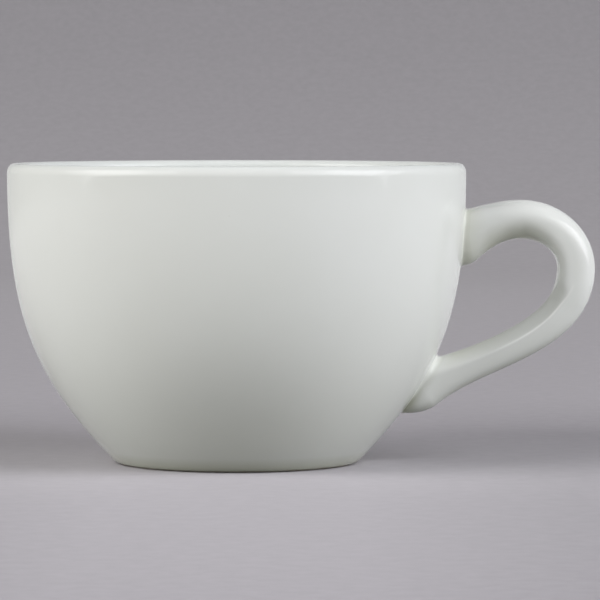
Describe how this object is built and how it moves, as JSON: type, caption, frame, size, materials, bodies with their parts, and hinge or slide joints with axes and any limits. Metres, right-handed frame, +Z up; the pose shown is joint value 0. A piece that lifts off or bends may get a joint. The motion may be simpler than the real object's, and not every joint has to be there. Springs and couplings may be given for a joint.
{
  "type": "cappuccino cup",
  "caption": "Wide round glazed china cup with a rounded lip, a small bare foot ring and a looped side handle, for coffee with milk.",
  "frame": {"origin": "on the bowl's axis, in the plane of the foot ring that stands on the table", "axes": "+Z up along the bowl's axis, +X from the axis towards the handle, +Y away from a viewer who sees the handle on the right"},
  "size_m": [0.1302, 0.1016, 0.0663],
  "materials": {
    "clay": "matte",
    "slip": "matte",
    "glaze": "gloss"
  },
  "bodies": {
    "root": {"bowl": "clay", "handle": "clay", "upper_slip_joint": "slip", "lower_slip_joint": "slip", "outer_glaze": "glaze", "liner_glaze": "glaze", "base_glaze": "glaze", "handle_glaze": "glaze"}
  },
  "joints": []
}
